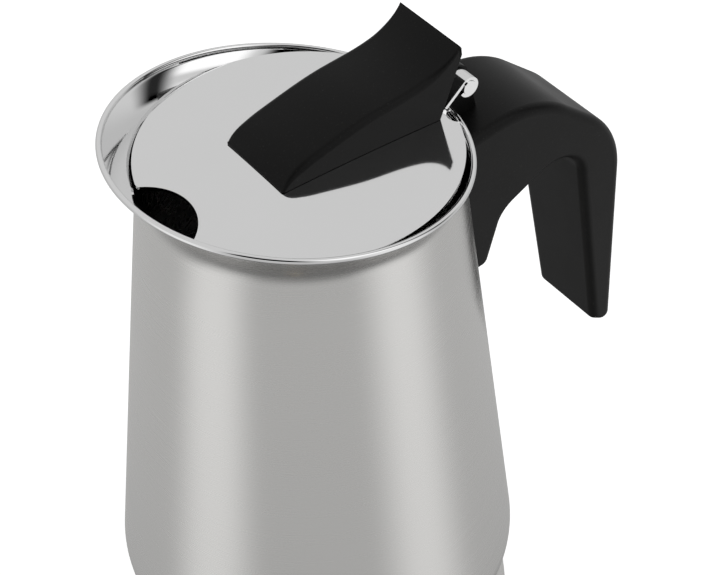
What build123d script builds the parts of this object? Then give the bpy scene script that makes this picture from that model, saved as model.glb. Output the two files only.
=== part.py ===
from build123d import *
from math import atan, atan2, cos, hypot, pi, radians, sin, sqrt
import os

# Stainless steel moka pot, in millimetres.
# Origin: centre of the boiler's resting face. +Z up, spout towards -X, handle towards +X.

# ---- overall heights -------------------------------------------------------------------
boiler_height = 62.0          # resting face to the foot of the threaded collar
collector_height = 134.0      # lower edge of the collector to the lid plane
joint_gap = 0.5               # between the collector's lower edge and the boiler's shoulder

# ---- sheet and fits --------------------------------------------------------------------
wall = 0.8                    # stainless sheet of the shells and the lid
thin_sheet = 0.6              # funnel and perforated discs
seat_gap = 0.1                # faces of different bodies that rest on each other
pin_fit = 0.05                # radial running fit of the hinge pin
slide_fit = 0.08              # radial running fit of the valve plunger
body_gap = 0.3                # free gap between bodies that pass each other
screw_clearance = 0.15        # radial, where a screw passes through
overlap = 0.3                 # solids of one piece run into each other by this before they fuse

# ---- boiler ----------------------------------------------------------------------------
boiler_radius = 50.5
boiler_foot_radius = 45.0
boiler_foot_rise = 7.0
boiler_foot_round = 5.0
boiler_shoulder_drop = 13.0
boiler_shoulder_round = 9.0
base_disc_radius = 41.0
base_disc_thickness = 1.5

# ---- threaded joint --------------------------------------------------------------------
thread_radius = 42.0          # crest of the male thread
thread_depth = 0.9
thread_pitch = 4.0
thread_turns = 2.0
thread_foot_share = 0.32      # half the ridge's width at its foot, as a share of the pitch
thread_crest_share = 0.12     # and at its crest
thread_clearance = 0.12
thread_runout = 3.0           # plain collar above and below the thread
collar_wall = 3.4             # root of the male thread to the boiler's mouth
collar_foot = 2.0             # collar below the shoulder, inside the shell
female_wall = 2.2

# ---- gasket and filter plate -----------------------------------------------------------
gasket_thickness = 3.2
gasket_lap = 3.7              # gasket inside the boiler's mouth
gasket_edge_gap = 0.5
plate_rim_gap = 0.6
gasket_shelf_width = 4.5      # inner flange of the female collar, above the filter plate
gasket_shelf_thickness = 1.2
hole_radius = 0.8
hole_spacing = 6.0
screen_margin = 3.0

# ---- funnel ----------------------------------------------------------------------------
basket_gap = 0.5              # basket to the boiler's mouth
basket_depth = 25.0
funnel_cone_height = 9.0
stem_radius = 4.6
stem_overlap = 5.0
stem_floor_gap = 6.0          # stem's open foot above the boiler's floor

# ---- collector -------------------------------------------------------------------------
cone_top_radius = 35.7        # outer radius where the cone meets the lid plane
bulge_radius = 51.2
bulge_drop = 124.0            # lid plane down to the widest ring
bulge_round = 14.0
bulge_rise = 7.0              # the collector's lower edge to the corner that is rounded
column_foot_radius = 10.0
column_top_radius = 6.5
column_height = 66.0
cap_height = 9.0
cap_slot_width = 5.0
cap_slot_height = 4.0

# ---- pouring rim -----------------------------------------------------------------------
neck_drop = 7.0               # lid plane down to where the flare begins
rim_spread = 5.55             # outside of the rolled lip beyond the cone's top radius
rim_offset = -2.9             # centre of the lip, towards the spout
rim_rise = 2.85               # lip's centre above the lid plane
rim_tilt = 0.126              # rise per millimetre towards the spout
flare_power = 2.2
flare_steps = 5
lip_radius = 0.7              # half the lip's height and width
lip_round = 0.5

# ---- lid and hinge ---------------------------------------------------------------------
lid_lap = 0.8                 # lid's edge beyond the cone's top radius
lid_dome = 1.0                # rise of the lid's centre above its edge
notch_radius = 13.0
notch_reach = 5.0             # notch's centre beyond the lid's edge
notch_round = 1.5
leaf_half_width = 8.8
leaf_inset = 3.8              # leaf's root inside the lid's edge
leaf_tongue = 0.6             # leaf's foot under the lid's sheet
leaf_relief_radius = 2.6
leaf_roll = 285.0             # degrees that the leaf wraps round the pin
pin_reach = 4.1               # pin's axis beyond the lid's edge
pin_rise = 3.55               # above the lid plane
pin_radius = 1.7
pin_overhang = 0.3
knuckle_width = 4.2

# ---- knob ------------------------------------------------------------------------------
# Lengths along X are measured forwards from the hinge leaf's root.
knob_half_width = 10.8
knob_edge_round = 1.6
knob_front_reach = 44.4
knob_front_rise = 1.4
knob_crown = ((34.0, 7.1), (20.1, 10.3), (7.2, 12.0))
knob_foot_reach = 1.6
knob_rear_overhang = 4.6
knob_rear_rise = 17.8
knob_rear_flat = 1.2
knob_front_lean = (0.5, 1.0)  # direction of the crown at its front
knob_rear_lean = (0.7, 1.0)   # and at its rear
knob_screw_reach = (30.7, 12.7)
knob_screw_radius = 1.5
knob_screw_depth = 6.0
knob_screw_head_radius = 2.8
knob_screw_head_height = 1.6

# ---- handle ----------------------------------------------------------------------------
handle_half_width = 13.4      # at the lid plane
handle_tip_half_width = 11.3  # at the open end of the grip
handle_edge_round = 2.2
handle_crown_round = 28.0
handle_bend_round = 28.0
handle_tip_drop = 98.1        # lid plane down to the grip's open end
handle_arch_round = 9.0
handle_crotch_round = 8.0
handle_tip_round = 2.4
handle_inner_round = 2.6
handle_body_gap = 0.3         # handle to the collector's wall
bracket_thickness = 1.0
bracket_half_width = 6.0
bracket_top_drop = 9.0        # lid plane down to the bracket's upper edge
bracket_foot_drop = 46.0
boss_radius = 3.5
boss_length = 3.2
boss_drop = 41.0
tapped_floor = 0.5            # closed end of the boss's thread, from the wall
handle_seat_wall = 1.4        # handle material between the boss and the screw's washer
handle_bore_length = 10.0
bore_gap = 0.4                # screw head to its bore
handle_screw_radius = 2.0
handle_screw_head_radius = 3.6
handle_screw_head_height = 2.4
handle_screw_slot_width = 1.0
handle_screw_slot_depth = 0.8
handle_washer_thickness = 0.8
handle_socket_gap = 0.2
lug_half_width = leaf_half_width - knuckle_width - body_gap
lug_radius = 3.2
lug_web_front = 1.8           # front of the lug's web ahead of the pin's axis, clear of the lip
lug_web_reach = 6.4           # foot of the lug's web behind the pin's axis
lug_web_drop = 9.0            # and below the lid plane, inside the handle

# ---- safety valve ----------------------------------------------------------------------
valve_azimuth = 225.0
valve_height = 34.0
valve_shank_radius = 5.0
valve_hole_gap = 0.15
valve_hex = 14.0              # across flats
valve_head_length = 5.0
valve_nose_radius = 5.2
valve_nose_length = 5.0
valve_washer_thickness = 1.2
valve_nut_thickness = 3.5
valve_shank_inside = 7.0
valve_cavity_radius = 3.7
valve_end_wall = 1.6
plunger_rod_radius = 1.2
plunger_head_radius = 3.2
plunger_head_thickness = 1.0
plunger_reach = 2.0           # rod tip beyond the nose
seat_ring_thickness = 0.8
seat_hole_radius = 2.0
spring_wire_radius = 0.3
spring_coil_radius = 2.6
spring_turns = 5.0
spring_end_gap = 0.05

# ---- derived levels --------------------------------------------------------------------
cone_slope = (bulge_radius - cone_top_radius) / bulge_drop
thread_length = thread_turns * thread_pitch
collar_top = boiler_height + thread_length + 2 * thread_runout
mouth_radius = thread_radius - thread_depth - collar_wall
gasket_inner_radius = mouth_radius - gasket_lap
collector_foot = boiler_height + joint_gap
lid_z = collector_foot + collector_height
rim_radius = cone_top_radius + rim_spread
lid_radius = cone_top_radius + lid_lap
notch_centre = -(lid_radius + notch_reach)
leaf_root_x = lid_radius - leaf_inset
pin_x = lid_radius + pin_reach
knob_screw_x = [leaf_root_x - reach for reach in knob_screw_reach]
flange_top = collar_top + seat_gap + thin_sheet
gasket_foot = flange_top + seat_gap
gasket_top = gasket_foot + gasket_thickness
plate_foot = gasket_top + seat_gap
plate_top = plate_foot + thin_sheet
female_bore = thread_radius + thread_clearance
female_outer = female_bore + female_wall
shelf_inner = female_bore - gasket_shelf_width
floor_foot = plate_top + gasket_shelf_thickness
pin_z = lid_z + pin_rise
knuckle_radius = pin_radius + pin_fit + wall
dome_radius = (lid_radius ** 2 + lid_dome ** 2) / (2 * lid_dome)
dome_centre_z = lid_z + lid_dome - dome_radius
neck_z = lid_z - neck_drop
neck_radius = cone_top_radius + cone_slope * neck_drop
cone_wall = wall * hypot(1, cone_slope)


# ---- helpers ---------------------------------------------------------------------------
def cone_radius(z):
    """Outer radius of the collector's cone at height z."""
    return cone_top_radius + cone_slope * (lid_z - z)


def ring(inner, outer, low, high):
    """A plain ring, or a disc when inner is 0."""
    body = Pos(0, 0, (low + high) / 2) * Cylinder(outer, high - low)
    if inner > 0:
        body -= Pos(0, 0, (low + high) / 2) * Cylinder(inner, high - low + 2)
    return body


def turned(outline):
    """Revolve a closed outline of (radius, height) edges about Z."""
    return revolve(Plane.XZ * make_face(outline), Axis.Z)


def offset_path(points, distance):
    """Move an open path of straight runs sideways, to its left, by distance."""
    runs = []
    for (x0, y0), (x1, y1) in zip(points, points[1:]):
        length = hypot(x1 - x0, y1 - y0)
        runs.append((-(y1 - y0) / length, (x1 - x0) / length))
    moved = [(points[0][0] + runs[0][0] * distance, points[0][1] + runs[0][1] * distance)]
    for (nx0, ny0), (nx1, ny1), (x, y) in zip(runs, runs[1:], points[1:]):
        scale = distance / (1 + nx0 * nx1 + ny0 * ny1)
        moved.append((x + (nx0 + nx1) * scale, y + (ny0 + ny1) * scale))
    last_x, last_y = points[-1]
    moved.append((last_x + runs[-1][0] * distance, last_y + runs[-1][1] * distance))
    return moved


def sheet_shell(points, radii, thickness):
    """Turned sheet: outer path of (radius, height), rounded corners, metal to its left."""
    inner = offset_path(points, thickness)
    inner_radii = []
    for (x0, y0), (x1, y1), (x2, y2), radius in zip(points, points[1:], points[2:], radii):
        turn = (x1 - x0) * (y2 - y1) - (y1 - y0) * (x2 - x1)
        inner_radii.append(radius - thickness if turn > 0 else radius + thickness)
    outer_edges = FilletPolyline(*points, radius=radii).edges()
    inner_edges = FilletPolyline(*inner, radius=inner_radii).edges()
    ends = [Edge.make_line(points[0], inner[0]), Edge.make_line(points[-1], inner[-1])]
    return turned([*outer_edges, *inner_edges, *ends])


def side_plate(outline, half_width):
    """Extrude an outline drawn in the XZ plane to both sides of y = 0."""
    return extrude(Plane.XZ * outline, amount=half_width, both=True)


def perforations(limit, low, high):
    """Upright drills on a hexagonal grid, inside a circle of radius limit."""
    row_step = hole_spacing * sqrt(3) / 2
    rows = int(limit / row_step)
    drills = []
    for row in range(-rows, rows + 1):
        shift = hole_spacing / 2 if row % 2 else 0.0
        columns = int(limit / hole_spacing) + 1
        for column in range(-columns, columns + 1):
            x = column * hole_spacing + shift
            y = row * row_step
            if hypot(x, y) < limit:
                drills.append(Pos(x, y, (low + high) / 2) * Cylinder(hole_radius, high - low + 2))
    return drills


def perforated_disc(radius, low, high):
    return ring(0, radius, low, high) - perforations(radius - screen_margin, low, high)


# ---- boiler ----------------------------------------------------------------------------
def boiler_shell():
    """Pressed can whose mouth is welded to the threaded collar."""
    foot = base_disc_thickness
    root = thread_radius - thread_depth
    points = [
        (0, foot),
        (boiler_foot_radius, foot),
        (boiler_radius, boiler_foot_rise),
        (boiler_radius, boiler_height - boiler_shoulder_drop),
        (root, boiler_height),
    ]
    radii = [boiler_foot_round, boiler_foot_round, boiler_shoulder_round]
    shell = sheet_shell(points, radii, wall)
    shell -= ring(0, root, boiler_height - 2 * collar_foot, boiler_height + collar_foot)
    valve_hole = ring(0, valve_shank_radius + valve_hole_gap, -boiler_radius / 2, boiler_radius / 2)
    return shell - valve_place() * valve_hole


def boiler_base_disc():
    return ring(0, base_disc_radius, 0, base_disc_thickness)


def boiler_collar():
    root = thread_radius - thread_depth
    collar = ring(mouth_radius, root, boiler_height - collar_foot, collar_top)
    start = boiler_height + thread_runout
    half_foot = thread_pitch * thread_foot_share
    half_crest = thread_pitch * thread_crest_share
    section = Polyline((root - overlap, -half_foot), (root, -half_foot),
                       (thread_radius, -half_crest), (thread_radius, half_crest),
                       (root, half_foot), (root - overlap, half_foot), close=True)
    path = Helix(thread_pitch, thread_length - thread_pitch, root)
    ridge = sweep(Plane.XZ * make_face(section), path=path, is_frenet=True)
    return collar + Pos(0, 0, start + thread_pitch / 2) * ridge


# ---- safety valve ----------------------------------------------------------------------
def valve_place():
    """Frame on the boiler's wall: local +Z points outwards along the valve."""
    angle = radians(valve_azimuth)
    outward = (cos(angle), sin(angle), 0)
    return Plane(origin=(boiler_radius * cos(angle), boiler_radius * sin(angle), valve_height),
                 x_dir=(0, 0, 1), z_dir=outward).location


def hexagon(across_flats, low, high):
    prism = extrude(RegularPolygon(across_flats / 2, 6, major_radius=False), high - low)
    return Pos(0, 0, low) * prism


valve_sag = boiler_radius - sqrt(boiler_radius ** 2 - valve_hex ** 2 / 3)  # wall's curve across the hexagon
head_foot = valve_washer_thickness
head_top = head_foot + valve_head_length
nose_top = head_top + valve_nose_length
shank_end = -wall - valve_shank_inside
seat_top = shank_end + seat_ring_thickness
cavity_top = nose_top - valve_end_wall
plunger_head_top = seat_top + plunger_head_thickness


def valve_body():
    body = hexagon(valve_hex, head_foot, head_top)
    body += ring(0, valve_nose_radius, head_top, nose_top)
    body += ring(0, valve_shank_radius, shank_end, head_foot)
    body -= ring(0, valve_cavity_radius, shank_end - 1, cavity_top)
    body -= ring(0, plunger_rod_radius + slide_fit, cavity_top - 1, nose_top + 1)
    return valve_place() * body


def valve_washer():
    """Soft washer between the hexagon and the round wall, pressed to its curve."""
    blank = ring(valve_shank_radius + valve_hole_gap, valve_hex / 2, -valve_sag, head_foot)
    return valve_place() * blank - ring(0, boiler_radius, 0, boiler_height)


def valve_nut():
    """Inside nut with a foot that follows the curve of the wall."""
    blank = hexagon(valve_hex, -wall - valve_nut_thickness - valve_sag, 0)
    blank -= ring(0, valve_shank_radius, -valve_hex, valve_hex)
    inside = ring(0, boiler_radius - wall, 0, boiler_height)
    return (valve_place() * blank) & inside


def valve_seat_ring():
    return valve_place() * ring(seat_hole_radius, valve_cavity_radius, shank_end, seat_top)


def valve_plunger():
    head = ring(0, plunger_head_radius, seat_top + seat_gap, plunger_head_top + seat_gap)
    rod = ring(0, plunger_rod_radius, plunger_head_top, nose_top + plunger_reach)
    return valve_place() * (head + rod)


def valve_spring():
    low = plunger_head_top + seat_gap + spring_wire_radius + spring_end_gap
    high = cavity_top - spring_wire_radius - spring_end_gap
    path = Helix((high - low) / spring_turns, high - low, spring_coil_radius)
    wire = Plane(origin=path @ 0, z_dir=path % 0) * Circle(spring_wire_radius)
    return valve_place() * (Pos(0, 0, low) * sweep(wire, path=path, is_frenet=True))


# ---- funnel ----------------------------------------------------------------------------
basket_radius = mouth_radius - basket_gap
basket_floor = flange_top - basket_depth
cone_foot = basket_floor - funnel_cone_height
flange_radius = thread_radius - thread_depth - gasket_edge_gap
boiler_floor = base_disc_thickness + wall
stem_foot = boiler_floor + stem_floor_gap


def funnel_basket():
    """Flanged cup that narrows to a neck, turned from thin sheet."""
    t = thin_sheet
    neck = stem_radius + t
    points = [
        (neck, cone_foot - stem_overlap),
        (neck, cone_foot),
        (basket_radius, basket_floor),
        (basket_radius, flange_top - t),
        (flange_radius, flange_top - t),
    ]
    inner = offset_path(points, t)
    edges = [*Polyline(*points).edges(), *Polyline(*inner).edges()]
    ends = [Edge.make_line(points[0], inner[0]), Edge.make_line(points[-1], inner[-1])]
    return turned([*edges, *ends])


def funnel_stem():
    return ring(stem_radius - thin_sheet, stem_radius, stem_foot, cone_foot)


def funnel_screen():
    """Perforated disc that stands on the corner between the cup and the cone."""
    lean = atan2(funnel_cone_height, basket_radius - stem_radius - thin_sheet)
    low = basket_floor + thin_sheet * (1 - sin(lean)) / cos(lean)
    return perforated_disc(basket_radius - thin_sheet, low, low + thin_sheet)


# ---- gasket ----------------------------------------------------------------------------
def gasket():
    return ring(gasket_inner_radius, female_bore - gasket_edge_gap, gasket_foot, gasket_top)


# ---- collector -------------------------------------------------------------------------
rim_sheet_radius = rim_radius - lip_radius + wall / 2
flare_height = neck_drop + rim_rise - lip_radius


def rim_section(u):
    """Centre, height, tilt and radius of the flare's outer face, 0 at the neck and 1 at the lip."""
    spread = max(u, 0.0) ** flare_power
    centre = rim_offset * spread
    height = neck_z + flare_height * u
    radius = neck_radius + (rim_sheet_radius - neck_radius) * spread
    return centre, height, rim_tilt * u, radius


def flare_angle(u):
    """Angle of the flare's wall from upright."""
    lean = (rim_sheet_radius - neck_radius) * flare_power * max(u, 0.0) ** (flare_power - 1)
    return atan2(lean, flare_height)


def tilted_disc(centre, height, tilt, radius):
    """A round face whose outline seen from above is a circle of the given radius."""
    plane = Plane(origin=(centre, 0, height), x_dir=(1, 0, -tilt), z_dir=(tilt, 0, 1))
    return plane * Circle(radius)


def flare_solid(inset, last):
    """Lofted body of the flare, its wall moved inwards by inset, up to parameter last."""
    faces = []
    for step in range(flare_steps + 1):
        u = last * step / flare_steps
        centre, height, tilt, radius = rim_section(u)
        angle = flare_angle(u)
        if step == 0:
            faces.append(tilted_disc(centre, height, tilt, radius - inset * hypot(1, cone_slope)))
        else:
            faces.append(tilted_disc(centre, height + inset * sin(angle), tilt,
                                     radius - inset * cos(angle)))
    return loft(faces)


def collector_shell():
    """Cone, curled-in foot and flare in one sheet, with a rounded lip on the flare's end."""
    low = collector_foot
    points = [
        (female_outer, low),
        (cone_radius(low + bulge_rise), low + bulge_rise),
        (cone_radius(neck_z + 1.0), neck_z + 1.0),
    ]
    cone = sheet_shell(points, [bulge_round], wall) - ring(0, 2 * neck_radius, neck_z, neck_z + 5)
    cone -= ring(0, female_outer, low - 1, floor_foot)
    flare = flare_solid(0.0, 1.0) - flare_solid(wall, 1.12)
    centre, height, tilt, radius = rim_section(1.0)
    lip_plane = Plane(origin=(centre, 0, height), x_dir=(1, 0, -tilt), z_dir=(tilt, 0, 1))
    lip = Rot(0, 0, 90) * ring(rim_radius - 2 * lip_radius, rim_radius, 0, 2 * lip_radius)
    lip = fillet(lip.edges().filter_by(GeomType.CIRCLE), lip_round)
    return cone + flare + lip_plane.location * lip


def collector_floor():
    """Floor of the coffee chamber, with a hole for the riser column."""
    outer_low = cone_radius(floor_foot) - cone_wall
    outer_high = cone_radius(floor_foot + wall) - cone_wall
    points = [
        (column_foot_radius - wall, floor_foot),
        (outer_low, floor_foot),
        (outer_high, floor_foot + wall),
        (column_foot_radius - wall, floor_foot + wall),
    ]
    return turned(Polyline(*points, close=True).edges())


def collector_collar():
    """Female collar, with the shelf that the filter plate bears on."""
    collar = ring(female_bore, female_outer, collector_foot, floor_foot)
    return collar + ring(shelf_inner, female_bore + 1.0, plate_top, floor_foot)


def riser_column():
    low = floor_foot + wall
    high = low + column_height
    points = [
        (column_foot_radius, low),
        (column_top_radius, high),
        (column_top_radius - wall, high),
        (column_foot_radius - wall, low),
    ]
    return turned(Polyline(*points, close=True).edges())


def column_cap():
    """Hood on the column's top, with two side slots that the coffee leaves by."""
    low = floor_foot + wall + column_height
    outer = column_top_radius
    cap = ring(0, outer, low, low + cap_height)
    cap -= ring(0, outer - wall, low - 1, low + cap_height - wall)
    slot_z = low + cap_height - wall - 1.0 - cap_slot_height / 2
    return cap - Pos(0, 0, slot_z) * Box(cap_slot_width, 4 * outer, cap_slot_height)


def filter_plate():
    return perforated_disc(female_bore - plate_rim_gap, plate_foot, plate_top)


# ---- lid -------------------------------------------------------------------------------
def dome_ball(drop):
    """Ball under the lid's upper face, moved down by drop."""
    return Pos(0, 0, dome_centre_z - drop) * Sphere(dome_radius)


def lid_outline():
    """Round lid with the spout notch and a relief on each side of the hinge leaf."""
    disc = Circle(lid_radius) - Pos(notch_centre, 0) * Circle(notch_radius)
    beyond = 4 * leaf_inset
    for side in (-1, 1):
        slot_x = leaf_root_x + leaf_relief_radius
        slot_y = side * (leaf_half_width + leaf_relief_radius)
        disc -= Pos(slot_x, slot_y) * Circle(leaf_relief_radius)
        disc -= Pos(slot_x + beyond / 2, slot_y) * Rectangle(beyond, 2 * leaf_relief_radius)
    return disc - Pos(leaf_root_x + beyond / 2, 0) * Rectangle(beyond, 2 * leaf_half_width)


def leaf_profile():
    """Hinge leaf in the XZ plane: a straight strip that rolls over the pin."""
    outer = knuckle_radius
    root_x = leaf_root_x
    root_z = lid_z
    reach = hypot(pin_x - root_x, pin_z - root_z)
    to_pin = atan2(pin_z - root_z, pin_x - root_x)
    climb = to_pin + atan(outer / sqrt(reach ** 2 - outer ** 2))
    touch = climb + pi / 2
    top = (pin_x + outer * cos(touch), pin_z + outer * sin(touch))
    roll_end = touch - radians(leaf_roll)
    inner = outer - wall
    inner_top = (pin_x + inner * cos(touch), pin_z + inner * sin(touch))
    middle = touch - radians(leaf_roll / 2)
    outer_mid = (pin_x + outer * cos(middle), pin_z + outer * sin(middle))
    inner_mid = (pin_x + inner * cos(middle), pin_z + inner * sin(middle))
    outer_end = (pin_x + outer * cos(roll_end), pin_z + outer * sin(roll_end))
    inner_end = (pin_x + inner * cos(roll_end), pin_z + inner * sin(roll_end))
    foot = (root_x + wall * sin(climb), root_z - wall * cos(climb))
    tongue_x = root_x - leaf_tongue
    return make_face([
        Edge.make_line((tongue_x, root_z), (root_x, root_z)),
        Edge.make_line((root_x, root_z), top),
        Edge.make_three_point_arc(top, outer_mid, outer_end),
        Edge.make_line(outer_end, inner_end),
        Edge.make_three_point_arc(inner_end, inner_mid, inner_top),
        Edge.make_line(inner_top, foot),
        Edge.make_line(foot, (root_x, root_z - wall)),
        Edge.make_line((root_x, root_z - wall), (tongue_x, root_z - wall)),
        Edge.make_line((tongue_x, root_z - wall), (tongue_x, root_z)),
    ])


def lid():
    column = Pos(0, 0, lid_z - 5) * extrude(lid_outline(), 12)
    tips = [edge for edge in column.edges().filter_by(Axis.Z) if edge.center().X < 0]
    column = fillet(tips, notch_round)
    sheet = (column & dome_ball(0)) - dome_ball(wall)
    leaf = side_plate(leaf_profile(), leaf_half_width)
    gap = Box(4 * knuckle_radius, 2 * (lug_half_width + body_gap), 6 * knuckle_radius)
    leaf -= Pos(pin_x, 0, pin_z) * gap
    sheet += leaf
    for x in knob_screw_x:
        sheet -= Pos(x, 0, lid_z) * Cylinder(knob_screw_radius + screw_clearance, knob_screw_depth)
    return sheet


def knob_side():
    """Wedge seen from the side: convex front, hollow towards the tall rear."""
    z = lid_z
    front_x = leaf_root_x - knob_front_reach
    foot_x = leaf_root_x - knob_foot_reach
    rear_x = leaf_root_x + knob_rear_overhang
    middle = [(leaf_root_x - reach, z + rise) for reach, rise in knob_crown]
    rear_top = (rear_x - knob_rear_flat, z + knob_rear_rise)
    crown = Spline((front_x, z + knob_front_rise), *middle, rear_top,
                   tangents=[knob_front_lean, knob_rear_lean])
    rear = (rear_x, z + knob_rear_rise - knob_rear_flat)
    return make_face([
        *crown.edges(),
        Edge.make_line(rear_top, rear),
        Edge.make_line(rear, (foot_x, z - lid_dome)),
        Edge.make_line((foot_x, z - lid_dome), (front_x, z - lid_dome)),
        Edge.make_line((front_x, z - lid_dome), (front_x, z + knob_front_rise)),
    ])


def knob():
    block = side_plate(knob_side(), knob_half_width)
    block = fillet(block.edges().filter_by(GeomType.BSPLINE), knob_edge_round)
    block -= dome_ball(0)
    for x in knob_screw_x:
        block -= Pos(x, 0, lid_z) * Cylinder(knob_screw_radius, 2 * knob_screw_depth)
    return block


def knob_screws():
    """Two screws from under the lid into the knob."""
    screws = []
    for x in knob_screw_x:
        under = lid_z + lid_dome - wall - x ** 2 / (2 * dome_radius) - seat_gap
        head = Pos(x, 0, under - knob_screw_head_height / 2)
        head = head * Cylinder(knob_screw_head_radius, knob_screw_head_height)
        top = lid_z + knob_screw_depth - overlap
        shank = Pos(x, 0, (under + top) / 2) * Cylinder(knob_screw_radius, top - under)
        screws.append(head + shank)
    return Compound(children=[solid for screw in screws for solid in screw.solids()])


# ---- hinge pin, bracket and handle -----------------------------------------------------
def across_y(x, z, radius, half_length):
    return Pos(x, 0, z) * Rot(90, 0, 0) * Cylinder(radius, 2 * half_length)


def hinge_pin():
    return across_y(pin_x, pin_z, pin_radius, leaf_half_width + pin_overhang)


def wall_cone(offset, margin=0.0):
    """Solid cone that follows the collector's outer wall, moved outwards by offset."""
    low = lid_z - 1.4 * bracket_foot_drop - margin
    high = neck_z + margin
    points = [(0, low), (cone_radius(low) + offset, low),
              (cone_radius(high) + offset, high), (0, high)]
    return turned(Polyline(*points, close=True).edges())


def wall_band(half_width, low, high):
    """Block through the wall on the handle's side, between two heights."""
    reach = 2 * bulge_radius
    return Pos(reach / 2, 0, (low + high) / 2) * Box(reach, 2 * half_width, high - low)


def boss_place():
    """Frame on the collector's wall at the boss: local +Z leaves the wall."""
    z = lid_z - boss_drop
    return Plane(origin=(cone_radius(z), 0, z), x_dir=(0, 1, 0), z_dir=(1, 0, 0)).location


def handle_bracket():
    """Saddle plate welded to the wall, with a threaded boss and a hooked upper tab."""
    low = lid_z - bracket_foot_drop
    high = lid_z - bracket_top_drop
    band = wall_band(bracket_half_width, low, high)
    saddle = (band & wall_cone(bracket_thickness)) - wall_cone(0)
    boss = boss_place() * ring(0, boss_radius, -bracket_thickness, boss_length)
    boss -= wall_cone(0)
    drill = boss_place() * ring(0, handle_screw_radius, tapped_floor, boss_length + 1)
    return saddle + boss - drill


def handle_side():
    """Open-ended handle seen from the side: deep root, arched neck, straight grip.

    Each corner is its distance from the collector's wall, its drop and its rounding.
    """
    corners = [
        (-0.8, 8.6, handle_inner_round),
        (22.2, 5.0, handle_crown_round),
        (47.7, 28.2, handle_bend_round),
        (43.4, handle_tip_drop, handle_tip_round),
        (37.3, 94.0, handle_tip_round),
        (33.4, 23.8, handle_arch_round),
        (9.5, 35.7, handle_crotch_round),
        (3.6, 50.6, handle_inner_round),
        (-6.0, 51.8, handle_inner_round),
    ]
    points = [(cone_radius(lid_z - drop) + reach, lid_z - drop) for reach, drop, _ in corners]
    radii = [radius for _, _, radius in corners]
    return make_face(FilletPolyline(*points, radius=radii, close=True).edges())


def handle_block():
    """The side view given its width, which narrows towards the open end, and rounded edges."""
    block = side_plate(handle_side(), handle_half_width + 1.0)
    foot = lid_z - handle_tip_drop
    front_view = Polyline((-handle_half_width, lid_z), (handle_half_width, lid_z),
                          (handle_tip_half_width, foot), (-handle_tip_half_width, foot), close=True)
    block &= extrude(Plane.YZ * make_face(front_view), 4 * bulge_radius)
    sides = block.faces().sort_by(SortBy.AREA)[-2:]
    return fillet(sides.edges(), handle_edge_round)


def handle():
    block = handle_block()
    lug = across_y(pin_x, pin_z, lug_radius, lug_half_width)
    web_foot = lid_z - lug_web_drop
    web = Polyline((pin_x - lug_web_front, pin_z), (pin_x - lug_web_front, web_foot),
                   (pin_x + lug_web_reach, web_foot), (pin_x + lug_radius, pin_z), close=True)
    lug += side_plate(make_face(web), lug_half_width)
    block += lug
    block -= across_y(pin_x, pin_z, pin_radius, 2 * leaf_half_width)
    block -= wall_cone(handle_body_gap, neck_drop)
    low = lid_z - bracket_foot_drop - handle_socket_gap
    high = lid_z - bracket_top_drop + handle_socket_gap
    socket = wall_band(bracket_half_width + handle_socket_gap, low, high)
    block -= socket & wall_cone(bracket_thickness + handle_socket_gap)
    block -= boss_place() * ring(0, boss_radius + handle_socket_gap, -wall, boss_length)
    block -= boss_place() * ring(0, handle_screw_radius + screw_clearance, 0, screw_seat + wall)
    bore_end = screw_seat + handle_bore_length
    return block - boss_place() * ring(0, handle_screw_head_radius + bore_gap, screw_seat, bore_end)


screw_seat = boss_length + handle_seat_wall


def handle_washer():
    inner = handle_screw_radius + screw_clearance
    return boss_place() * ring(inner, handle_screw_head_radius, screw_seat,
                               screw_seat + handle_washer_thickness)


def handle_screw():
    """Slotted cheese-head screw into the bracket's boss."""
    seat = screw_seat + handle_washer_thickness
    top = seat + handle_screw_head_height
    head = ring(0, handle_screw_head_radius, seat, top)
    slot = Box(4 * handle_screw_head_radius, handle_screw_slot_width, 2 * handle_screw_slot_depth)
    head -= Pos(0, 0, top) * slot
    shank = ring(0, handle_screw_radius, tapped_floor + screw_clearance, seat + screw_clearance)
    return boss_place() * (head + shank)


PARTS = {
    "boiler_shell": boiler_shell,
    "boiler_base_disc": boiler_base_disc,
    "boiler_collar": boiler_collar,
    "valve_body": valve_body,
    "valve_washer": valve_washer,
    "valve_nut": valve_nut,
    "valve_seat_ring": valve_seat_ring,
    "valve_spring": valve_spring,
    "valve_plunger": valve_plunger,
    "funnel_basket": funnel_basket,
    "funnel_stem": funnel_stem,
    "funnel_screen": funnel_screen,
    "gasket": gasket,
    "collector_shell": collector_shell,
    "collector_floor": collector_floor,
    "collector_collar": collector_collar,
    "riser_column": riser_column,
    "column_cap": column_cap,
    "filter_plate": filter_plate,
    "handle_bracket": handle_bracket,
    "handle": handle,
    "handle_screw": handle_screw,
    "handle_washer": handle_washer,
    "hinge_pin": hinge_pin,
    "lid": lid,
    "knob": knob,
    "knob_screws": knob_screws,
}

os.makedirs("parts", exist_ok=True)
for name, make in PARTS.items():
    export_step(make(), f"parts/{name}.step")
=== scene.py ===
# %% [markdown]
# # A stainless moka pot
# The pot is a boiler, a coffee chamber that screws onto it, a hinged lid and a moulded handle.
# This file dresses the fixed CAD model: it loads the frame, builds the smooth skins that show,
# gives every piece its finish, and sets a camera in a small studio.

import bpy
import numpy as np
from mathutils import Matrix, Vector


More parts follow.
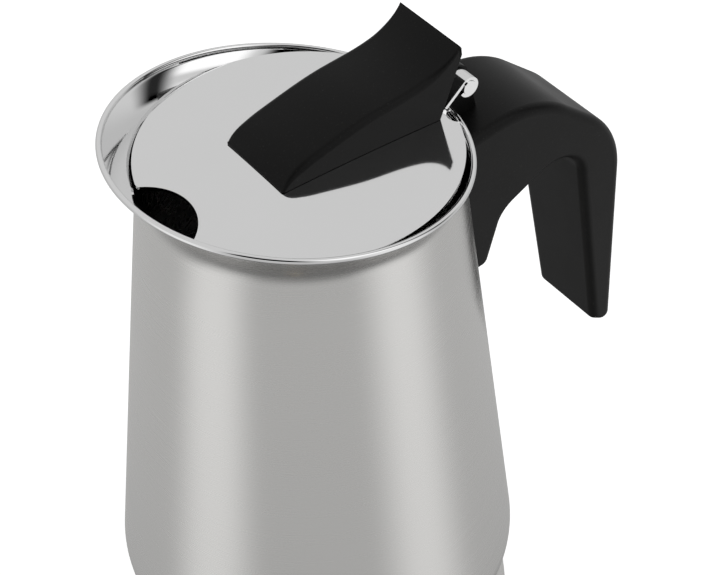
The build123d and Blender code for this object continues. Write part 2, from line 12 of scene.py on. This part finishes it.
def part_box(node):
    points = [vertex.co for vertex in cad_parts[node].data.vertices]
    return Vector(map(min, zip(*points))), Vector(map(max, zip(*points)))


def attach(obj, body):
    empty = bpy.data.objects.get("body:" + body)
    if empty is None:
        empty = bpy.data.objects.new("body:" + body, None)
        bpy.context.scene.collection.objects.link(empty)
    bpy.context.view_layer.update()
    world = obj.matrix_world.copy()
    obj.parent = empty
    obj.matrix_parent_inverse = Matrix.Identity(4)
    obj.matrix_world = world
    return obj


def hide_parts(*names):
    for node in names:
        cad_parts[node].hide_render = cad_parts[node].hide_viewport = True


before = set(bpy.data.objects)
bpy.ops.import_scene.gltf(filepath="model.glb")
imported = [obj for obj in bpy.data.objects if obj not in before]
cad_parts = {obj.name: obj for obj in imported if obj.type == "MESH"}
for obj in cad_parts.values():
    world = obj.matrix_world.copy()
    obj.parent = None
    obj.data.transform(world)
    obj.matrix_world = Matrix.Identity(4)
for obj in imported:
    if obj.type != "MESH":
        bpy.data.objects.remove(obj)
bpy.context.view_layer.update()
MM = 0.001

# %% [markdown]
# ## Sizes read from the model
# Every skin has to land on the part that it stands for. Typing each level again would go wrong when
# the model's sizes change, so they come from the boxes of the CAD nodes wherever a box holds them.

# %% Levels and radii in millimetres
def corners_of(node):
    """Lowest and highest corner of a CAD node, in millimetres."""
    low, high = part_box(node)
    return np.array(low) / MM, np.array(high) / MM


lid_above_foot = 134.0
shell_low, shell_high = corners_of("collector_shell")
knob_low, knob_high = corners_of("knob")
lid_radius = corners_of("lid")[1][1]
collar_radius = corners_of("collector_collar")[1][1]
foot_level = shell_low[2]
lid_plane = foot_level + lid_above_foot
print("lid plane", round(lid_plane, 2), "lid radius", round(lid_radius, 2))

# %% [markdown]
# ## Shader maths written as expressions
# A finish is a sum and product of a few patterns. Each step could be placed as a node by hand, but
# that hides the formula. Wrapping a socket in a small class lets the formula be written as ordinary
# arithmetic, and the class adds the Math nodes.

# %% Socket arithmetic
class Value:
    """A number or vector that the shader works out at each point of a surface."""

    def __init__(self, paint, socket):
        self.paint, self.socket = paint, socket

    def _math(self, operation, *items):
        return self.paint.add("ShaderNodeMath", {"operation": operation}, dict(enumerate(items)))

    def __add__(self, other): return self._math("ADD", self, other)
    def __radd__(self, other): return self._math("ADD", other, self)
    def __sub__(self, other): return self._math("SUBTRACT", self, other)
    def __rsub__(self, other): return self._math("SUBTRACT", other, self)
    def __mul__(self, other): return self._math("MULTIPLY", self, other)
    def __rmul__(self, other): return self._math("MULTIPLY", other, self)

    def absolute(self):
        return self._math("ABSOLUTE", self)

    def step(self, low, high):
        """Smooth rise from 0 at low to 1 at high."""
        settings = {"interpolation_type": "SMOOTHSTEP"}
        sockets = {"Value": self, "From Min": low, "From Max": high}
        return self.paint.add("ShaderNodeMapRange", settings, sockets)


print("a Value can be added, subtracted, multiplied, stepped and made absolute")

# %% [markdown]
# ## One method for every other node
# A node needs its type, then its settings, then its sockets. The settings come first because some
# of them change which sockets there are.

# %% Node trees
class Paint:
    """A node tree that is filled by one method, add."""

    def __init__(self, owner):
        owner.use_nodes = True
        self.tree = owner.node_tree
        self.tree.nodes.clear()

    def add(self, kind, settings=None, sockets=None, out=0):
        """A node of that type: its settings first, then the values or links of its sockets."""
        node = self.tree.nodes.new(kind)
        for name, setting in (settings or {}).items():
            setattr(node, name, setting)
        for name, item in (sockets or {}).items():
            if isinstance(item, Value):
                self.tree.links.new(item.socket, node.inputs[name])
            else:
                node.inputs[name].default_value = item
        return Value(self, node.outputs[out]) if len(node.outputs) else None

    def noise(self, scale, detail=2.0, roughness=0.5):
        """Noise from 0 to 1 on object coordinates, each axis multiplied by its own scale."""
        place = self.add("ShaderNodeTexCoord", out="Object")
        stretched = self.add("ShaderNodeMapping", None, {"Vector": place, "Scale": scale})
        sockets = {"Vector": stretched, "Scale": 1.0, "Detail": detail, "Roughness": roughness}
        return self.add("ShaderNodeTexNoise", None, sockets)

    def blend(self, factor, first, second):
        """Colour between first and second by factor."""
        sockets = {0: factor, 6: (*first, 1.0), 7: (*second, 1.0)}
        return self.add("ShaderNodeMix", {"data_type": "RGBA"}, sockets, out=2)

    def bump(self, height, distance, strength):
        sockets = {"Height": height, "Distance": distance, "Strength": strength}
        return self.add("ShaderNodeBump", None, sockets)

    def surface(self, **sockets):
        """The principled shader and the output; an underscore in a name stands for a space."""
        named = {name.replace("_", " "): item for name, item in sockets.items()}
        shader = self.add("ShaderNodeBsdfPrincipled", None, named)
        self.add("ShaderNodeOutputMaterial", None, {"Surface": shader})


def material(name):
    made = bpy.data.materials.new(name)
    print("material", name)
    return made, Paint(made)


def darker(tint, share):
    return tuple(share * part for part in tint)


# %% [markdown]
# ## Brushed stainless steel
# The shells are polished on a lathe with an abrasive belt, which leaves fine rings round the pot.
# Rings scatter light up and down but hardly sideways, so a lamp shows as a soft upright band.
# Modelled grooves would be far too many faces. A noise squeezed along Z gives the rings, and the
# shader's anisotropy gives the bands.

# %% Brushed steel
def brushed_steel(name, tint, rough, stretch=0.7):
    made, paint = material(name)
    fine = paint.noise((55, 55, 5200), detail=3.0, roughness=0.6)
    coarse = paint.noise((14, 14, 900))
    cloud = paint.noise((26, 26, 26))
    rings = fine * 0.6 + coarse * 0.4
    paint.surface(
        Base_Color=paint.blend(rings, darker(tint, 0.90), tint),
        Metallic=1.0,
        Roughness=rough + (rings - 0.5) * 0.16 + (cloud - 0.5) * 0.05,
        Anisotropic=stretch, Anisotropic_Rotation=0.25,
        Normal=paint.bump(fine, 0.00001, 0.35))
    return made


body_steel = brushed_steel("brushed_steel", (0.80, 0.792, 0.775), 0.26)

# %% [markdown]
# ## Polished sheet
# The lid, the pin and the inside of the flare are buffed until they mirror the room. A perfect
# mirror looks false, so a faint haze and finer wipe marks vary the roughness by a hundredth or two.

# %% Polished steel
def polished_steel(name, tint, rough):
    made, paint = material(name)
    haze = paint.noise((40, 40, 40), detail=3.0)
    wipes = paint.noise((900, 60, 60))
    paint.surface(
        Base_Color=paint.blend(haze, darker(tint, 0.97), tint),
        Metallic=1.0,
        Roughness=rough + (haze - 0.5) * 0.02 + (wipes - 0.5) * 0.01,
        Normal=paint.bump(wipes, 0.000002, 0.2))
    return made


mirror_steel = polished_steel("polished_steel", (0.88, 0.88, 0.88), 0.06)

# %% [markdown]
# ## Bakelite
# The handle and knob are moulded from a black phenolic that stays cool. It is satin, with the fine
# grain of its mould. A very dark colour with a low specular level keeps it black under soft light,
# and a sparse speck in the noise gives the grain.

# %% Bakelite
def bakelite(name):
    made, paint = material(name)
    grain = paint.noise((2600, 2600, 2600), roughness=0.7)
    patch = paint.noise((90, 90, 90), detail=3.0)
    speck = grain.step(0.62, 0.78)
    paint.surface(
        Base_Color=paint.blend(speck, (0.0055, 0.0054, 0.0053), (0.032, 0.031, 0.030)),
        Roughness=0.36 + (patch - 0.5) * 0.12 + speck * 0.08,
        Specular_IOR_Level=0.13,
        Normal=paint.bump(grain, 0.00003, 0.5))
    return made


black_bakelite = bakelite("black_bakelite")

# %% [markdown]
# ## Silicone, brass and plain steel
# The seals are soft silicone with an uneven dull surface. The safety valve is turned from brass,
# and the pieces inside the pot are plain turned or pressed steel. Turned metal is one recipe with
# two tints, because only the colour and the gloss differ.

# %% Silicone and turned metal
def rubber(name, tint):
    made, paint = material(name)
    patch = paint.noise((150, 150, 150), detail=3.0)
    paint.surface(
        Base_Color=paint.blend(patch, darker(tint, 0.92), tint),
        Roughness=0.5 + (patch - 0.5) * 0.15,
        Normal=paint.bump(patch, 0.00005, 0.3))
    return made


def turned_metal(name, tint, rough):
    made, paint = material(name)
    turning = paint.noise((900, 900, 900), detail=3.0)
    patch = paint.noise((120, 120, 120))
    paint.surface(
        Base_Color=paint.blend(patch, darker(tint, 0.9), tint),
        Metallic=1.0,
        Roughness=rough + (turning - 0.5) * 0.12,
        Normal=paint.bump(turning, 0.00001, 0.3))
    return made


plain_steel = turned_metal("plain_steel", (0.72, 0.715, 0.705), 0.28)
white_silicone = rubber("white_silicone", (0.80, 0.79, 0.76))
yellow_brass = turned_metal("brass", (0.83, 0.62, 0.30), 0.24)

# %% [markdown]
# ## Turning arrays into pieces
# A skin is a grid of points: rows that run round or along the piece, joined into quads. The mesh
# gets its points and faces as whole arrays. Which way a grid winds depends on how it was built, so
# the volume that the faces enclose decides whether they are turned over to point outwards.

# %% Faces of a grid
def quads(rows, columns, close_rows):
    """Corner numbers of every quad of a grid whose columns close, and its rows if asked."""
    i = np.arange(rows if close_rows else rows - 1)[:, None]
    j = np.arange(columns)[None, :]
    below, beside = (i + 1) % rows, (j + 1) % columns
    grid = np.stack(np.broadcast_arrays(i * columns + j, below * columns + j,
                                        below * columns + beside, i * columns + beside), axis=-1)
    return grid.reshape(-1, 4)


def signed_volume(points, faces):
    """A sixth of the sum of triple products; negative where the faces point inwards."""
    a, b, c, d = (points[faces[:, k]] for k in range(4))
    return float(np.sum(np.cross(a, b) * c + np.cross(a, c) * d) / 6)


print("a 3 by 4 grid has", len(quads(3, 4, False)), "quads")

# %% Grid to mesh
def grid_piece(name, grid, body, stands_for, finishes, face_finish, caps=False,
               closed_rows=False):
    """A closed piece from a grid of points in millimetres, riding on a body."""
    rows, columns = grid.shape[:2]
    points = grid.reshape(-1, 3) * MM
    faces = quads(rows, columns, closed_rows)
    inwards = signed_volume(points, faces) < 0
    if inwards:
        faces = faces[:, ::-1]
    polygons = [tuple(face) for face in faces.tolist()]
    if caps:
        first, last = tuple(range(columns)), tuple(range((rows - 1) * columns, rows * columns))
        polygons += [first, last[::-1]] if not inwards else [first[::-1], last]
    mesh = bpy.data.meshes.new(name)
    mesh.from_pydata(points.tolist(), [], polygons)
    for finish in finishes:
        mesh.materials.append(finish)
    smooth = np.ones(len(polygons), bool)
    smooth[len(faces):] = False
    mesh.polygons.foreach_set("use_smooth", smooth)
    index = np.zeros(len(polygons), np.int32)
    index[:len(faces)] = face_finish
    mesh.polygons.foreach_set("material_index", index)
    mesh.update()
    piece = bpy.data.objects.new(name, mesh)
    bpy.context.scene.collection.objects.link(piece)
    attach(piece, body)
    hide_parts(*stands_for)
    print(name, len(points), "points")
    return piece


# %% [markdown]
# ## Rounded corners
# Sheet metal never folds to a sharp corner. A corner of a profile becomes an arc that touches both
# of its sides, and the normals of the arc are kept so that the sheet's other face can follow.

# %% Corner arc
def rounded_corner(before, corner, after, radius, count):
    """Arc that rounds a corner of a path: its points and the path's left-hand normals there.

    The arc starts a tangent length, radius times tan of half the turn, before the corner.
    """
    before, corner, after = (np.array(p, float) for p in (before, corner, after))
    come = (corner - before) / np.linalg.norm(corner - before)
    leave = (after - corner) / np.linalg.norm(after - corner)
    turn = np.arctan2(come[0] * leave[1] - come[1] * leave[0], come @ leave)
    side = np.sign(turn)
    tangent = radius * abs(np.tan(turn / 2))
    centre = corner - come * tangent + side * radius * np.array([-come[1], come[0]])
    start = np.arctan2(-side * come[0], side * come[1])
    angle = start + np.linspace(0, turn, count)
    spoke = np.stack([np.cos(angle), np.sin(angle)], axis=1)
    return centre + radius * spoke, -side * spoke


print("a rounded square corner starts at", rounded_corner((0, 0), (5, 0), (5, 5), 1.0, 6)[0][0])

# %% [markdown]
# ## The coffee chamber's skin
# One stainless sheet is spun into a cone, curled in at its foot and flared at its top, where the
# edge is rolled into a thin bead. The flare is wider towards the spout, so its circles drift and
# tilt as they climb. A lathe turn alone can't drift, so each row of the grid has its own centre,
# level, tilt and radius.

# %% Sizes of the chamber
wall = 0.8
lid_lap = 0.8
cone_top_radius = lid_radius - lid_lap
cone_slope = 15.5 / 124.0
neck_drop, flare_height, flare_power = 7.0, 9.15, 2.2
rim_shift, rim_tilt = -2.9, 0.126
sheet_radius, bead_ring, bead_radius = cone_top_radius + 5.25, cone_top_radius + 4.85, 0.7
neck_level = lid_plane - neck_drop
neck_radius = cone_top_radius + cone_slope * neck_drop
corner_level, corner_rounding = foot_level + 7.0, 14.0
floor_level = foot_level + 20.2
columns_round, flare_rows, bead_rows, corner_rows = 360, 24, 18, 24
print("rim radius", round(bead_ring + bead_radius, 2), "neck level", round(neck_level, 2))

# %% Rows of the chamber's surface
def cone_at(level):
    """Outer radius of the cone at a level: it grows by the slope for every millimetre down."""
    return cone_top_radius + cone_slope * (lid_plane - level)


def flare(u, inset=0.0):
    """Rows of the flare for u from 0 at the neck to 1 at the bead: centre, level, tilt and radius.

    The radius grows with u to a power, less a term that lets it leave the cone smoothly. The inset
    moves a row inwards, square to the sheet.
    """
    growth = sheet_radius - neck_radius
    spread = u ** flare_power
    radius = neck_radius + growth * spread - cone_slope * flare_height * u * (1 - u) ** 2
    lean = np.arctan2(growth * flare_power * u ** (flare_power - 1), flare_height)
    level = neck_level + flare_height * u + inset * np.sin(lean)
    return np.stack([rim_shift * spread, level, rim_tilt * u, radius - inset * np.cos(lean)], axis=1)


def upright(points):
    """Rows of a plain turned path: no drift and no tilt."""
    radius, level = points.T
    return np.stack([0 * radius, level, 0 * radius, radius], axis=1)


print("foot of the cone has radius", round(cone_at(foot_level), 2))

# %% [markdown]
# ## Up the outside, over the bead, down the inside
# The sheet's outer path is laid first. The inside is the same path moved in by the wall along its
# normals, so the thickness stays even round the corner. Below the chamber's floor the inside is
# held back to the collar that it is welded to.

# %% Profile of the sheet
path_corner = (cone_at(corner_level), corner_level)
path_neck = (cone_at(neck_level), neck_level)
path_foot = (collar_radius, foot_level)
arc, inward = rounded_corner(path_foot, path_corner, path_neck, corner_rounding, corner_rows)
rise = np.linspace(0, 1, 14)[1:-1, None]
cone_out = arc[-1] * (1 - rise) + np.array(path_neck) * rise
sheet = np.concatenate([[path_foot], arc, cone_out])
sheet_normal = np.concatenate([inward[:1], inward, np.repeat(inward[-1:], len(cone_out), axis=0)])
inside = sheet + wall * sheet_normal
held = np.maximum(inside[:, 0], collar_radius)
inside[:, 0] = np.where(inside[:, 1] < floor_level, held, inside[:, 0])
print("sheet rows", len(sheet))

# %% Grid of the chamber
roll = np.radians(np.linspace(-60, 222, bead_rows))
bead = np.stack([np.full(bead_rows, rim_shift), np.full(bead_rows, neck_level + flare_height),
                 np.full(bead_rows, rim_tilt), bead_ring + bead_radius * np.cos(roll)], axis=1)
lift = np.concatenate([np.zeros(len(sheet) + flare_rows), bead_radius * (1 + np.sin(roll)),
                       np.zeros(flare_rows + len(inside))])
rows = np.concatenate([upright(sheet), flare(np.linspace(0, 0.985, flare_rows)), bead,
                       flare(np.linspace(0.963, 0, flare_rows), wall), upright(inside[::-1])])
turn = np.linspace(0, 2 * np.pi, columns_round, endpoint=False)
centre, level, tilt, radius = (rows[:, k:k + 1] for k in range(4))
unit = np.sqrt(1 + tilt ** 2)
collector_grid = np.stack([
    centre + (radius * np.cos(turn) + tilt * lift[:, None]) / unit,
    radius * np.sin(turn) + 0 * centre,
    level + (lift[:, None] - tilt * radius * np.cos(turn)) / unit], axis=-1)
row_finish = np.zeros(len(rows), int)
row_finish[len(sheet) + flare_rows:] = 1
row_finish[len(sheet) + 2 * flare_rows + bead_rows:] = 2
print("chamber grid", collector_grid.shape)

# %% [markdown]
# ## The knob
# The knob is a moulded wedge on the lid: a convex front that hollows towards a tall rear, where a
# finger lifts it. Its side view is carried across its width, and the edges are rounded by moving
# the outline inwards along its normals as the width reaches its end. A bevel on a solid would do
# the same, but it would leave uneven faces along the curved crown.

# %% Smooth curve through points
def smooth_curve(points, first, last, count):
    """Cubic curve through points by chord length, with given end directions.

    The slopes at the inner points are those that make the second derivative continuous.
    """
    points = np.array(points, float)
    span = np.linalg.norm(np.diff(points, axis=0), axis=1)
    knot = np.concatenate([[0], np.cumsum(span)])
    n = len(points)
    system, value = np.eye(n), np.zeros((n, 2))
    value[0] = np.array(first) / np.linalg.norm(first)
    value[-1] = np.array(last) / np.linalg.norm(last)
    k = np.arange(1, n - 1)
    system[k, k - 1], system[k, k], system[k, k + 1] = span[1:], 2 * (span[:-1] + span[1:]), span[:-1]
    chord = np.diff(points, axis=0) / span[:, None]
    value[k] = 3 * (span[1:, None] * chord[:-1] + span[:-1, None] * chord[1:])
    slope = np.linalg.solve(system, value)
    t = np.linspace(0, knot[-1], count)
    i = np.clip(np.searchsorted(knot, t, side="right") - 1, 0, n - 2)
    s, h = ((t - knot[i]) / span[i])[:, None], span[i][:, None]
    return ((1 + 2 * s) * (1 - s) ** 2 * points[i] + s * (1 - s) ** 2 * h * slope[i]
            + s ** 2 * (3 - 2 * s) * points[i + 1] + s ** 2 * (s - 1) * h * slope[i + 1])


def carried_across(outline, half_width, rounding, count=7):
    """Grid of an outline in the XZ plane carried along Y from edge to edge.

    For an angle a from 0 to 90 degrees the outline moves inwards by r(1 - cos a), at the place
    half_width - r(1 - sin a) on each side.
    """
    along = np.roll(outline, -1, axis=0) - np.roll(outline, 1, axis=0)
    along /= np.linalg.norm(along, axis=1)[:, None]
    outward = np.stack([-along[:, 1], along[:, 0]], axis=1)
    a = np.linspace(0, np.pi / 2, count)
    a = np.concatenate([a[::-1], a])[:, None]
    side = np.repeat([-1.0, 1.0], count)[:, None]
    inset = rounding * (1 - np.cos(a))
    moved = outline[None] - outward[None] * inset[..., None]
    across_y = side * (half_width - rounding * (1 - np.sin(a)))
    return np.stack([moved[..., 0], across_y + 0 * moved[..., 0], moved[..., 1]], axis=-1)


print("knob half width", round(knob_high[1], 2))

# %% Side view of the knob
leaf_root = lid_radius - 3.8
front_x, foot_x, rear_x = leaf_root - 44.4, leaf_root - 1.6, leaf_root + 4.6
knob_top = knob_high[2] - lid_plane
crown_points = [(front_x + 0.25, 1.4), (leaf_root - 34.0, 7.1), (leaf_root - 20.1, 10.3),
                (leaf_root - 7.2, 12.0), (rear_x - 1.2, knob_top)]
crown = smooth_curve(crown_points, (0.5, 1.0), (0.7, 1.0), 60)
step = np.linspace(0, 1, 14)[:, None]
tip = (rear_x - 0.35, knob_top - 0.1)
rear_arc = rounded_corner(crown[-2], tip, (foot_x, 0), 0.45, 6)[0]
rear = np.array([rear_x, knob_top - 1.2]) * (1 - step) + np.array([foot_x, 0.25]) * step
under = np.array([foot_x - 0.4, 0.02]) * (1 - step) + np.array([front_x + 0.7, 0.02]) * step
dome = 1.0 - (under[:, :1] ** 2) / (lid_radius ** 2)
under[:, 1:] = np.maximum(under[:, 1:], dome - 0.03)
front_arc = np.array([(front_x + 0.3, 0.75), (front_x + 0.05, 0.95), (front_x, 1.15)])
outline = np.concatenate([crown, rear_arc[1:], rear[1:], under, front_arc])
outline[:, 1] += lid_plane
print("outline points", len(outline), "knob rises", round(knob_top, 2))

# %% Edge rounding along the outline
full_round, tip_round, foot_round, front_round = 1.5, 0.4, 0.12, 0.5
rounding = np.concatenate([
    np.linspace(0.6, full_round, 8), np.full(40, full_round), np.linspace(full_round, tip_round, 12),
    np.full(18, tip_round), np.full(14, foot_round), np.full(3, front_round)])
knob_grid = carried_across(outline, knob_high[1], rounding)
print("knob grid", knob_grid.shape)

# %% [markdown]
# ## A finish for every piece
# The pieces that have no skin show their own CAD mesh, and only need a finish. Most of them are
# plain steel, so that goes on all of them first and the others are named.

# %% Finish of each CAD node
finish_of = {
    body_steel: ["boiler_shell", "collector_shell"],
    mirror_steel: ["lid", "hinge_pin"],
    black_bakelite: ["handle", "knob"],
    white_silicone: ["gasket", "valve_washer"],
    yellow_brass: ["valve_body", "valve_nut", "valve_seat_ring", "valve_plunger"],
}
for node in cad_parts.values():
    node.data.materials.clear()
    node.data.materials.append(plain_steel)
for finish, names in finish_of.items():
    for name in names:
        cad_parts[name].data.materials[0] = finish
print("named finishes", sum(len(names) for names in finish_of.values()))

# %% [markdown]
# ## Skins in place
# The chamber is brushed outside, polished over the bead and inside the flare, and plain further
# down where a polishing wheel doesn't reach. Each skin rides on the body of the node that it
# replaces, so it turns and lifts with it.

# %% Skins in place
grid_piece("collector_skin", collector_grid, "collector", ["collector_shell"],
           [body_steel, mirror_steel, plain_steel], np.repeat(row_finish, columns_round),
           closed_rows=True)
grid_piece("knob_skin", knob_grid, "lid", ["knob"], [black_bakelite], 0, caps=True)

# %% [markdown]
# ## Camera
# The pot is seen from the front left and well above, from near enough that the cone tapers
# visibly. The view is three angles and a place, written as the camera's own axes.

# %% Camera
camera_place = np.array([-168.0, -256.2, lid_plane + 247.9])
view_yaw, view_pitch, view_roll = np.radians([35.4, 43.4, -1.52])
right = np.array([np.cos(view_yaw), -np.sin(view_yaw), 0.0])
ahead = np.array([np.sin(view_yaw) * np.cos(view_pitch), np.cos(view_yaw) * np.cos(view_pitch),
                  -np.sin(view_pitch)])
down = np.cross(ahead, right)
across = np.cos(view_roll) * right - np.sin(view_roll) * down
below = np.sin(view_roll) * right + np.cos(view_roll) * down
camera_data = bpy.data.cameras.new("camera")
camera_data.sensor_width = 36.0
camera_data.lens = 91.27
camera = bpy.data.objects.new("camera", camera_data)
axes = Matrix(np.column_stack([across, -below, -ahead]).tolist()).to_4x4()
camera.matrix_world = Matrix.Translation(Vector((camera_place * MM).tolist())) @ axes
bpy.context.scene.collection.objects.link(camera)
bpy.context.scene.camera = camera
bpy.context.scene.view_settings.view_transform = "Standard"
print("camera at", np.round(camera_place, 1))

# %% [markdown]
# ## Floor
# A white sweep gives the pot its soft contact shadow. Part of its brightness is its own glow, so
# that it stays pale under even light. It is hidden from reflections, where the sky does its work.

# %% Floor
floor_mesh = bpy.data.meshes.new("floor")
reach = 3.0
floor_mesh.from_pydata([(-reach, -reach, 0), (reach, -reach, 0), (reach, reach, 0),
                        (-reach, reach, 0)], [], [(0, 1, 2, 3)])
floor = bpy.data.objects.new("floor", floor_mesh)
bpy.context.scene.collection.objects.link(floor)
floor_finish, paint = material("floor")
diffuse = paint.add("ShaderNodeBsdfDiffuse", None, {"Color": (0.85, 0.85, 0.85, 1.0)})
glow = paint.add("ShaderNodeEmission", None, {"Color": (1, 1, 1, 1), "Strength": 0.62})
both = paint.add("ShaderNodeAddShader", None, {0: diffuse, 1: glow})
paint.add("ShaderNodeOutputMaterial", None, {"Surface": both})
floor_mesh.materials.append(floor_finish)
floor.visible_glossy = False

# %% [markdown]
# ## A painted sky
# Steel is drawn by what it reflects. Real lamps could be placed, but a sky painted by direction
# puts each soft edge exactly where it is wanted. Two low lamps beside the camera make the upright
# bands on the cone, a high lamp lights the flare, and two dark patches stand for the camera and a
# black card, which the flare shows as dark strips. The camera itself sees plain white.

# %% Directions in the sky
world = bpy.data.worlds.new("studio")
bpy.context.scene.world = world
sky = Paint(world)
direction = sky.add("ShaderNodeTexCoord", out="Generated")
split = sky.add("ShaderNodeSeparateXYZ", None, {"Vector": direction})
east, north, up = (Value(sky, split.socket.node.outputs[i]) for i in range(3))
bearing = sky.add("ShaderNodeMath", {"operation": "ARCTAN2"}, {0: north, 1: east})
towards_camera = np.arctan2(camera_place[1], camera_place[0])
print("camera bearing", round(float(np.degrees(towards_camera)), 1))


def sky_patch(offset, half_width, soft, low, high):
    """A soft upright patch, from 0 outside to 1 inside.

    The offset from the camera's bearing, half width and soft edge are in degrees. Low and high are
    heights of the direction's unit vector, each with an edge of a tenth outside them.
    """
    aim = float(towards_camera + np.radians(offset))
    turn = sky.add("ShaderNodeMath", {"operation": "WRAP"}, {0: bearing - aim, 1: np.pi, 2: -np.pi})
    away = turn.absolute()
    sideways = 1.0 - away.step(np.radians(half_width - soft), np.radians(half_width + soft))
    return sideways * up.step(low - 0.1, low) * (1.0 - up.step(high, high + 0.1))


# %% Painted sky
overhead = up.step(0.05, 0.35) * 0.12
underfoot = (1.0 - up.step(-0.95, -0.62)) * 0.40
low_lamps = (sky_patch(-62, 19, 13, -0.8, 0.3) + sky_patch(62, 19, 15, -0.8, 0.3)) * 0.33
high_lamp = sky_patch(62, 25, 8, 0.56, 0.90) * 0.50
shade = sky_patch(-5, 28, 7, 0.50, 0.92) * 0.66 + sky_patch(101, 10, 8, 0.24, 0.82) * 0.64
light = 0.54 + overhead - underfoot + low_lamps + high_lamp - shade
painted = sky.add("ShaderNodeBackground", None, {"Color": (1, 1, 1, 1), "Strength": light})
white = sky.add("ShaderNodeBackground", None, {"Color": (1, 1, 1, 1), "Strength": 1.0})
seen = sky.add("ShaderNodeLightPath", out="Is Camera Ray")
mixed = sky.add("ShaderNodeMixShader", None, {0: seen, 1: painted, 2: white})
sky.add("ShaderNodeOutputWorld", None, {"Surface": mixed})
print("sky nodes", len(world.node_tree.nodes))
